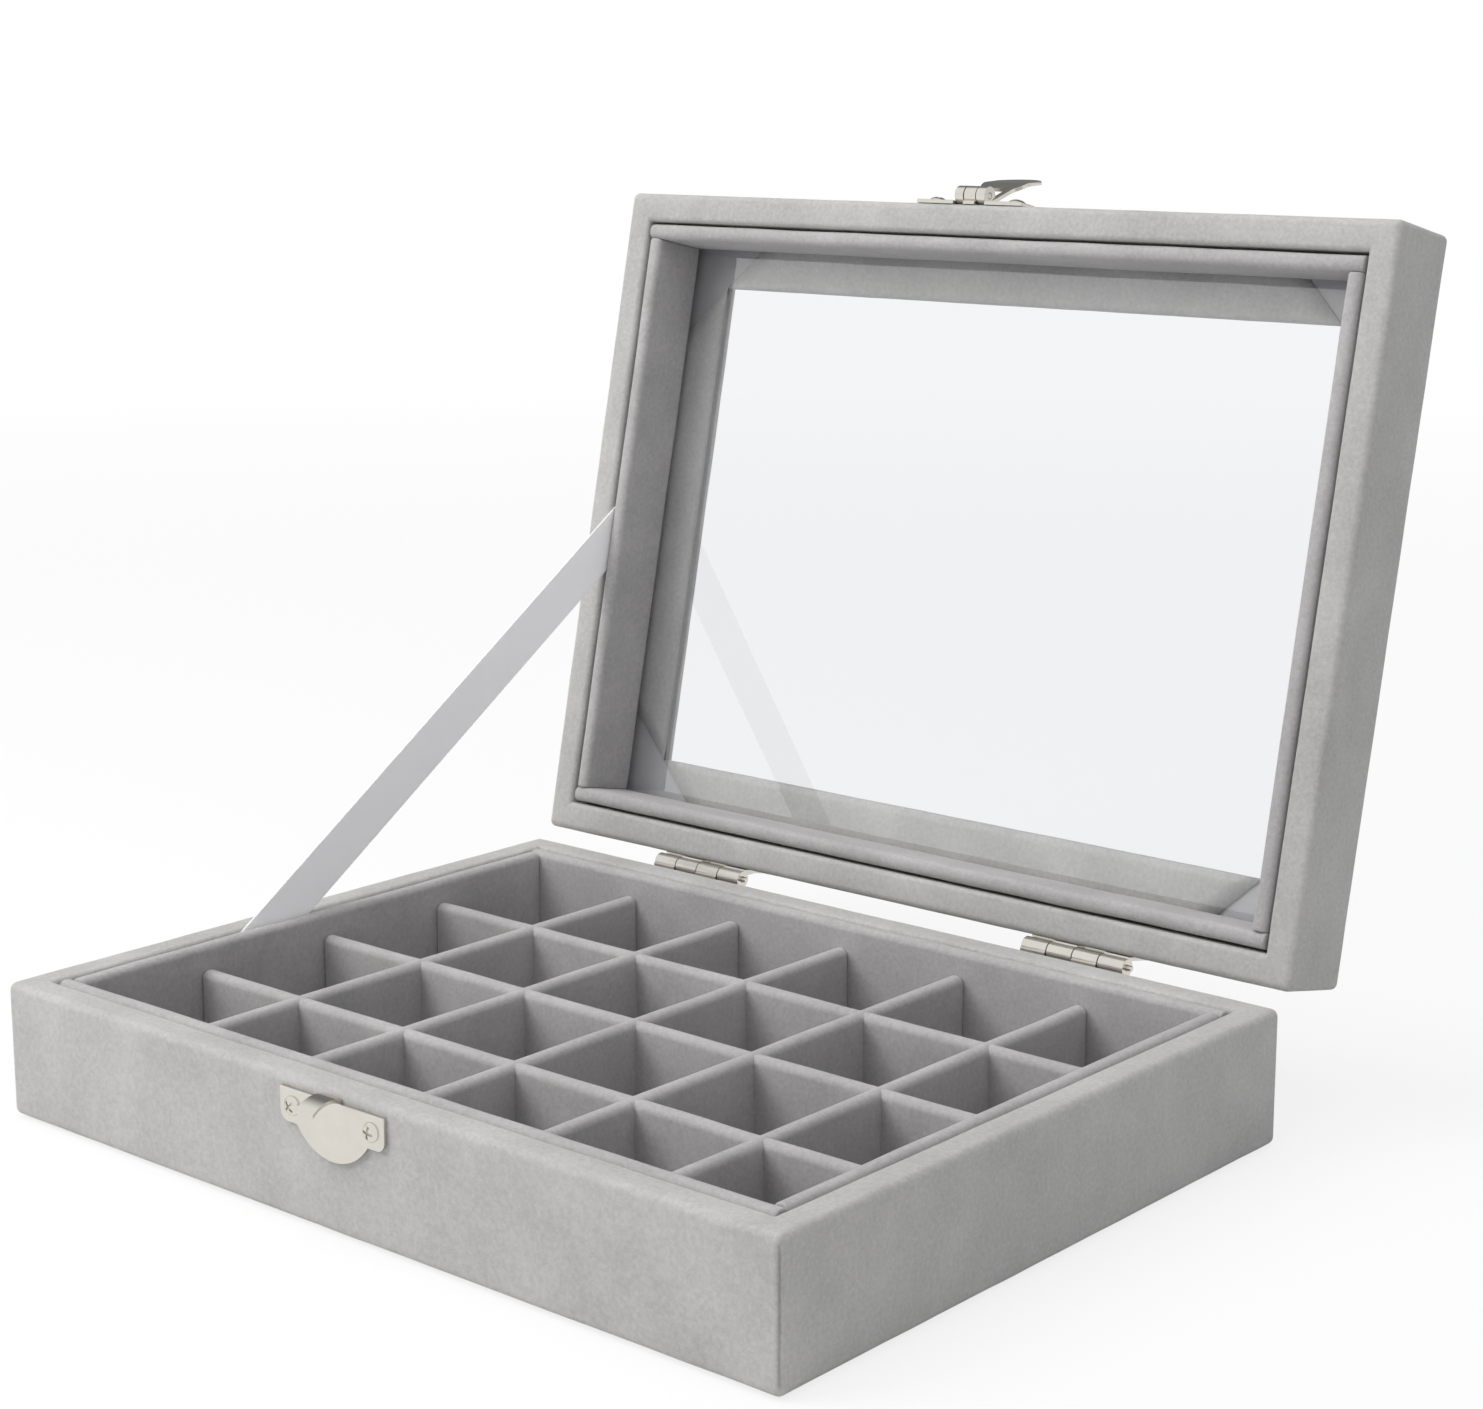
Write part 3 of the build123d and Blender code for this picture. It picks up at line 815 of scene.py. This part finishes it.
# The screws that hold the fittings: small domed heads with a cross recess, driven through the
# plates into the walls. Each was left at its own angle. One slot of the cross is a shade
# deeper than the other, so that the two cuts never share a face.
screw_head_radius = 1.9 * mm
screw_head_height = 1.0 * mm
screw_shank_radius = 0.9 * mm
screw_length = 4.5 * mm
recess_width = 0.5 * mm
recess_length = 2.4 * mm
recess_depth = 0.6 * mm
slot_step = 0.02 * mm
plate = 0.8 * mm
head_sides = 40
shank_sides = 16
screw_seed = 7

screw_tree = bpy.data.node_groups.new("driven_screws", "GeometryNodeTree")


def tree_input(name, kind, value=None):
    """Adds a named input to the screws' tree, with its value where it has one."""
    socket = screw_tree.interface.new_socket(name, in_out="INPUT", socket_type=kind)
    if value is not None:
        socket.default_value = value


def tree_node(kind, settings=None, sockets=None, output=0):
    """Adds a node to the screws' tree, as a finish does, and returns one output."""
    node = screw_tree.nodes.new(kind)
    for setting, value in (settings or {}).items():
        setattr(node, setting, value)
    for key, value in (sockets or {}).items():
        if isinstance(value, bpy.types.NodeSocket):
            screw_tree.links.new(value, node.inputs[key])
        else:
            node.inputs[key].default_value = value
    return node.outputs[output] if node.outputs else node


screw_tree.interface.new_socket("Screws", in_out="OUTPUT", socket_type="NodeSocketGeometry")
tree_input("Seats", "NodeSocketGeometry")
tree_input("Head Radius", "NodeSocketFloat", screw_head_radius)
tree_input("Head Height", "NodeSocketFloat", screw_head_height)
tree_input("Shank Radius", "NodeSocketFloat", screw_shank_radius)
tree_input("Shank Length", "NodeSocketFloat", screw_length)
tree_input("Recess", "NodeSocketVector", (recess_length, recess_width, 2 * recess_depth))
tree_input("Seed", "NodeSocketInt", screw_seed)
tree_input("Plating", "NodeSocketMaterial")
given = screw_tree.nodes.new("NodeGroupInput").outputs


def tree_sum(operation, *values):
    """A Math node in the screws' tree."""
    return tree_node("ShaderNodeMath", {"operation": operation}, dict(enumerate(values)))


def raised(geometry, height, turn=0.0):
    """Moves geometry up its own axis, and turns it about that."""
    place = tree_node("ShaderNodeCombineXYZ", {}, {"Z": height})
    sockets = {"Geometry": geometry, "Translation": place, "Rotation": (0, 0, turn)}
    return tree_node("GeometryNodeTransform", {}, sockets)


flatness = tree_sum("DIVIDE", given["Head Height"], given["Head Radius"])
flattened = tree_node("ShaderNodeCombineXYZ", {}, {"X": 1.0, "Y": 1.0, "Z": flatness})
ball = tree_node(
    "GeometryNodeMeshUVSphere",
    {},
    {"Segments": head_sides, "Rings": head_sides, "Radius": given["Head Radius"]},
)
head = tree_node("GeometryNodeTransform", {}, {"Geometry": ball, "Scale": flattened})
slot = tree_node("GeometryNodeMeshCube", {}, {"Size": given["Recess"]})
cross = tree_node("GeometryNodeMeshBoolean", {"operation": "DIFFERENCE"}, {"Mesh 1": head})
screw_tree.links.new(raised(slot, given["Head Height"]), cross.node.inputs["Mesh 2"])
deeper = tree_sum("SUBTRACT", given["Head Height"], slot_step)
screw_tree.links.new(raised(slot, deeper, pi / 2), cross.node.inputs["Mesh 2"])
shank = tree_node(
    "GeometryNodeMeshCylinder",
    {},
    {
        "Vertices": shank_sides,
        "Radius": given["Shank Radius"],
        "Depth": given["Shank Length"],
    },
)
shank = raised(shank, tree_sum("MULTIPLY", given["Shank Length"], -0.5))
screw = tree_node("GeometryNodeJoinGeometry", {}, {"Geometry": cross})
screw_tree.links.new(shank, screw.node.inputs["Geometry"])
outward = tree_node(
    "GeometryNodeInputNamedAttribute", {"data_type": "FLOAT_VECTOR"}, {"Name": "outward"}
)
upright = tree_node("FunctionNodeAlignRotationToVector", {"axis": "Z"}, {"Vector": outward})
angle = tree_node(
    "FunctionNodeRandomValue", {"data_type": "FLOAT"}, {"Max": pi, "Seed": given["Seed"]}, 1
)
driven = tree_node("FunctionNodeAxisAngleToRotation", {}, {"Axis": (0, 0, 1), "Angle": angle})
rotation = tree_node(
    "FunctionNodeRotateRotation",
    {"rotation_space": "LOCAL"},
    {"Rotation": upright, "Rotate By": driven},
)
placed = tree_node(
    "GeometryNodeInstanceOnPoints",
    {},
    {"Points": given["Seats"], "Instance": screw, "Rotation": rotation},
)
solid = tree_node("GeometryNodeRealizeInstances", {}, {"Geometry": placed})
plated_screws = tree_node(
    "GeometryNodeSetMaterial", {}, {"Geometry": solid, "Material": given["Plating"]}
)
tree_node("NodeGroupOutput", {}, {0: plated_screws})


def drive_screws(name, seats, body, replaced):
    """Screws at these seats of (point on the plate, outward direction), as one piece."""
    seat_mesh = bpy.data.meshes.new(f"{name}_seats")
    seat_mesh.from_pydata([point for point, _ in seats], [], [])
    directions = seat_mesh.attributes.new("outward", "FLOAT_VECTOR", "POINT")
    for item, (_, direction) in zip(directions.data, seats):
        item.vector = direction
    holder = bpy.data.objects.new(f"{name}_seats", seat_mesh)
    bpy.context.scene.collection.objects.link(holder)
    modifier = holder.modifiers.new("driven_screws", "NODES")
    modifier.node_group = screw_tree
    modifier[screw_tree.interface.items_tree["Plating"].identifier] = nickel
    evaluated = holder.evaluated_get(bpy.context.evaluated_depsgraph_get())
    made = bpy.data.meshes.new_from_object(evaluated)
    bpy.data.objects.remove(holder)
    return piece(name, [made], nickel, body, replaced, crisp=radians(30))


latch_x = -3.2 * mm
latch_screw_spread = 20.8 * mm
hinge_spacing = 102 * mm
hinge_screw_spread = 16 * mm
catch_screw_z = 22.75 * mm
hasp_screw_z = 32.25 * mm
hinge_screw_rise = 6.5 * mm
front_y = case_low.y - plate
back_y = case_high.y + plate
latch_xs = [latch_x + side * latch_screw_spread / 2 for side in (-1, 1)]
hinge_xs = [
    end * hinge_spacing / 2 + side * hinge_screw_spread / 2 for end in (-1, 1) for side in (-1, 1)
]
forwards = Vector((0, -1, 0))
backwards = Vector((0, 1, 0))
lid_tilt = lid_turn.to_3x3()
case_seats = [(Vector((x, front_y, catch_screw_z)), forwards) for x in latch_xs]
case_seats += [(Vector((x, back_y, hinge_axis.z - hinge_screw_rise)), backwards) for x in hinge_xs]
lid_seats = [
    (lid_turn @ Vector((x, front_y, hasp_screw_z)), lid_tilt @ forwards) for x in latch_xs
]
lid_seats += [
    (lid_turn @ Vector((x, back_y, hinge_axis.z + hinge_screw_rise)), lid_tilt @ backwards)
    for x in hinge_xs
]
drive_screws("case_screw_heads", case_seats, "case", ["catch_screws", "hinge_case_screws"])
drive_screws("lid_screw_heads", lid_seats, "lid", ["hasp_screws", "hinge_lid_screws"])
